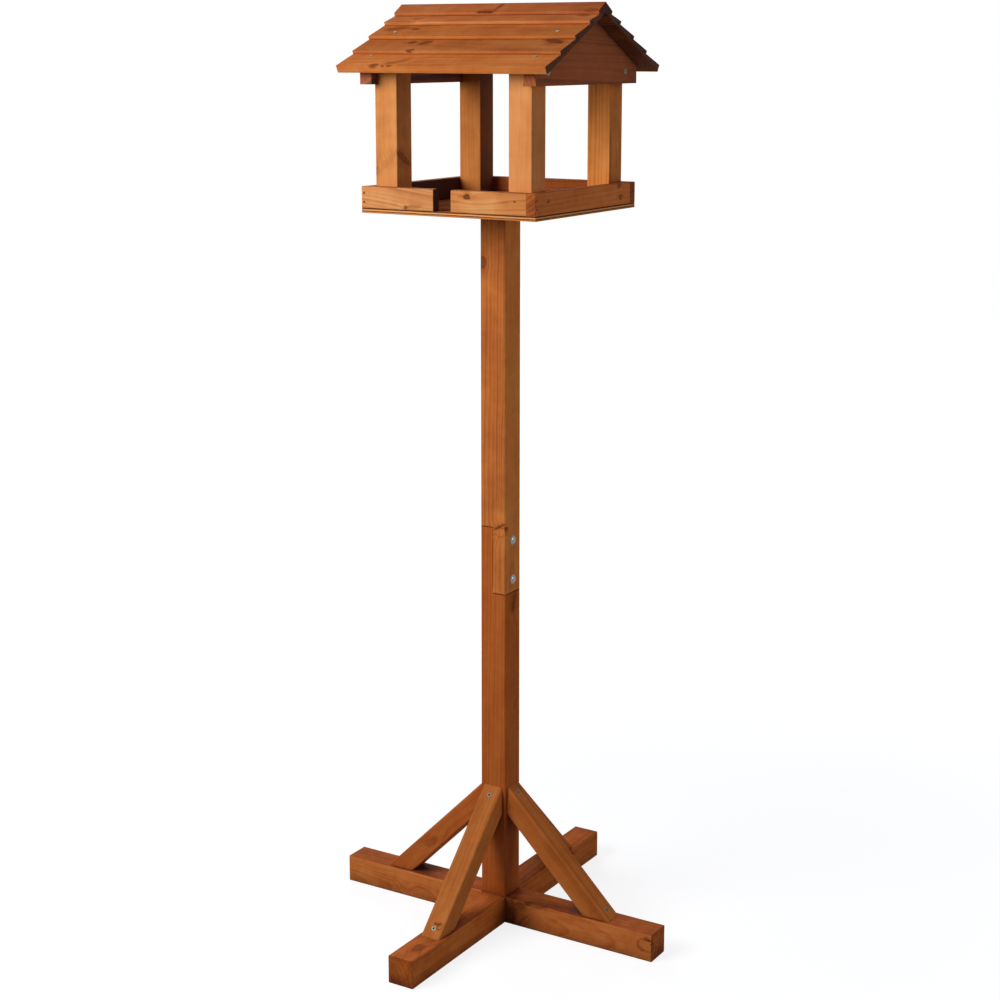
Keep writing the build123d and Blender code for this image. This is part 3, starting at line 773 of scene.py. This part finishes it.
front_knots = {
    1: [
        (-0.014, -0.0195, (1, 0, 0), 0.0020, 0.015, 0.9),
        (0.000, -0.0170, (0.5, 0.8, 0.4), 0.0024, 0.005, 0.6),
        (0.004, -0.0070, (0.33, 0.85, 0.4), 0.0016, 0.008, 0.8),
        (0.160, -0.0180, (1, 0.1, 0), 0.0026, 0.012, 0.6),
    ],
    2: [
        (-0.122, -0.0320, (1, 0.1, 0), 0.0026, 0.010, 0.45),
        (-0.145, -0.0465, (1, 0, 0), 0.0034, 0.020, 0.4),
        (0.152, -0.0230, (1, -0.1, 0), 0.0024, 0.010, 0.5),
    ],
    3: [
        (-0.107, -0.0610, (1, 0.1, 0), 0.0022, 0.0065, 0.9),
        (-0.143, -0.0580, (1, 0.3, 0.1), 0.0050, 0.016, 0.5),
    ],
    4: [
        (-0.090, -0.0970, (0.2, -0.3, 1), 0.0046, 0.010, 0.7, 0.3),
        (-0.066, -0.0980, (0.8, 0.5, 0.2), 0.0038, 0.010, 0.85),
        (-0.074, -0.1270, (0.6, 0.8, 0.3), 0.0030, 0.006, 0.8, 0.3),
        (0.144, -0.0930, (0.9, -0.3, -0.1), 0.0042, 0.018, 0.85),
    ],
    5: [
        (-0.110, -0.1660, (1, 0, 0), 0.0030, 0.0075, 0.85),
        (-0.093, -0.1682, (1, 0, 0), 0.0018, 0.003, 0.6),
        (-0.082, -0.1670, (1, 0.1, 0), 0.0018, 0.006, 0.6),
        (-0.078, -0.1540, (0.85, 0.52, 0.2), 0.0022, 0.019, 0.45),
    ],
}
back_knots = {
    2: [(0.060, 0.0310, (0.3, 0.4, 0.9), 0.0045, 0.02, 0.8)],
    4: [(-0.080, 0.1080, (0.8, -0.5, 0.2), 0.0040, 0.016, 0.7)],
    5: [(0.100, 0.1500, (0.2, 0.4, 0.9), 0.0055, 0.02, 0.9)],
}
eave_row = 5
down = (0, 0, -1)
board_colours = ((175, 93, 46), (201, 115, 59), (190, 106, 47), (180, 100, 46), (202, 114, 52))
for slope, way, knots in (("front", -1, front_knots), ("back", 1, back_knots)):
    for row, board_colour in enumerate(board_colours, 1):
        board = f"roof_board_{slope}_{row}"
        seed = 13.0 + row * 0.77 + way * 0.31
        low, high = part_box(board)
        middle = (low + high) / 2
        above = high.z + 0.1
        on_face = [
            (timber[board].ray_cast((x, y, above), down)[1], *knot) for x, y, *knot in knots.get(row, ())
        ]
        # Painted light and shade: the lower edges are painted paler, as lit, and the undersides darker, as
        # shaded.
        lower_edge = (0, way * 0.89, -0.45)
        edge_painted_light = 0.04 if row == eave_row else 0.18
        brushed(board, stained_pine(
            "pine_" + board, grain=(1, 0.015 * math.sin(seed * 5), 0.02 * math.cos(seed * 3)),
            pith=(0, middle.y + 0.03 * math.sin(seed * 9), low.z - 0.045),
            depths=stain(*board_colour, shade_hue_soak), knots=on_face, seed=seed, ring=0.0052, figure=0.12,
            streaky=0.36, blotchy=0.60, ends=0.65, corner_shade=0.45, corner=0.005,
            painted_face_light=[(down, 0.48), (lower_edge, -edge_painted_light)],
        ))


# Roof nails: through the eave board and the third board up, over the middle of each gable. Dull
# galvanised heads standing a little proud.

pitch = math.radians(20.717)
nail_out = Vector((0, -math.sin(pitch), math.cos(pitch)))
nail_rows = ((-0.13234, 1.35028), (-0.07149, 1.38394))
nails_front = [Vector((x, y, z)) for y, z in nail_rows for x in (-0.137, 0.137)]
both_slopes = (Matrix.Identity(3), Matrix.Rotation(math.pi, 3, "Z"))
galvanised = zinc_plate("galvanised", bright=linear(166, 166, 150), rough=0.44)
driven("roof_nail_heads", flat_nail(head=0.0055, thickness=0.0008, shank=0.0024, length=0.0312), [
    (turn @ spot, turn @ nail_out) for turn in both_slopes for spot in nails_front
], "roof_nails", galvanised)


# Studio: a pale floor, a large soft lamp in front of the house, weak ones on the right and behind,
# and white surroundings. The floor keeps the shadow and shows white to the camera.

def seen_directly(tree):
    """1 where the camera, a reflection or glass looks at it."""
    path = lay(tree, "LightPath").outputs
    share = calc(tree, "MAXIMUM", path["Is Camera Ray"], path["Is Glossy Ray"])
    return calc(tree, "MAXIMUM", share, path["Is Transmission Ray"])


paper_grey = (0.30, 0.30, 0.30, 1)
white = (1, 1, 1, 1)
bpy.ops.object.select_all(action="DESELECT")
bpy.ops.mesh.primitive_grid_add(x_subdivisions=4, y_subdivisions=4, size=14.0)
ground = bpy.context.object
ground.name = "studio_floor"
paper, tree, shader = new_finish("studio_floor")
shader.inputs["Base Color"].default_value = paper_grey
shader.inputs["Roughness"].default_value = 1.0
shader.inputs["Specular IOR Level"].default_value = 0.0
shader.inputs["Emission Color"].default_value = white
far = vectors(tree, "LENGTH", lay(tree, "TexCoord").outputs["Object"])
shown = calc(tree, "MULTIPLY", seen_directly(tree), fade(tree, far, 0.5, 2.5, 0.82, 1.0))
wire(tree, shader.inputs["Emission Strength"], shown)
ground.data.materials.append(paper)

cool_shade = (0.150, 0.168, 0.215, 1)
world = bpy.data.worlds.new("studio")
world.use_nodes = True
bpy.context.scene.world = world
tree = world.node_tree
room = shades(tree, seen_directly(tree), [(0.0, cool_shade), (1.0, white)])
wire(tree, tree.nodes["Background"].inputs["Color"], room)

for name, spot, aim, size, power in (
    ("key", (-0.80, -1.50, 1.75), (0, 0, 1.15), 1.2, 33),
    ("fill", (2.20, 0.40, 1.20), (0, 0, 0.90), 1.0, 9),
    ("back", (-1.70, 1.90, 1.50), (0, 0, 0.80), 1.2, 14),
):
    light = bpy.data.lights.new(name, "AREA")
    light.shape = "DISK"
    light.size = size
    light.energy = power
    lamp = bpy.data.objects.new(name, light)
    bpy.context.scene.collection.objects.link(lamp)
    lamp.location = spot
    lamp.rotation_euler = (Vector(aim) - Vector(spot)).to_track_quat("-Z", "Y").to_euler()


# Camera: at the front right, level with the eaves and tipped down a little. A long lens, shifted
# to frame the whole table.

turn_right = math.radians(31.572)
tip_down = math.radians(11.875)
distance = 2.8603
eye = 1.3631
lens = bpy.data.cameras.new("camera")
lens.sensor_width = 36.0
lens.lens = 69.05
lens.shift_x = -0.0005
lens.shift_y = -0.05
camera = bpy.data.objects.new("camera", lens)
bpy.context.scene.collection.objects.link(camera)
camera.location = (distance * math.sin(turn_right), -distance * math.cos(turn_right), eye)
camera.rotation_euler = (math.pi / 2 - tip_down, 0, turn_right)
bpy.context.scene.camera = camera
bpy.context.scene.view_settings.view_transform = "Standard"
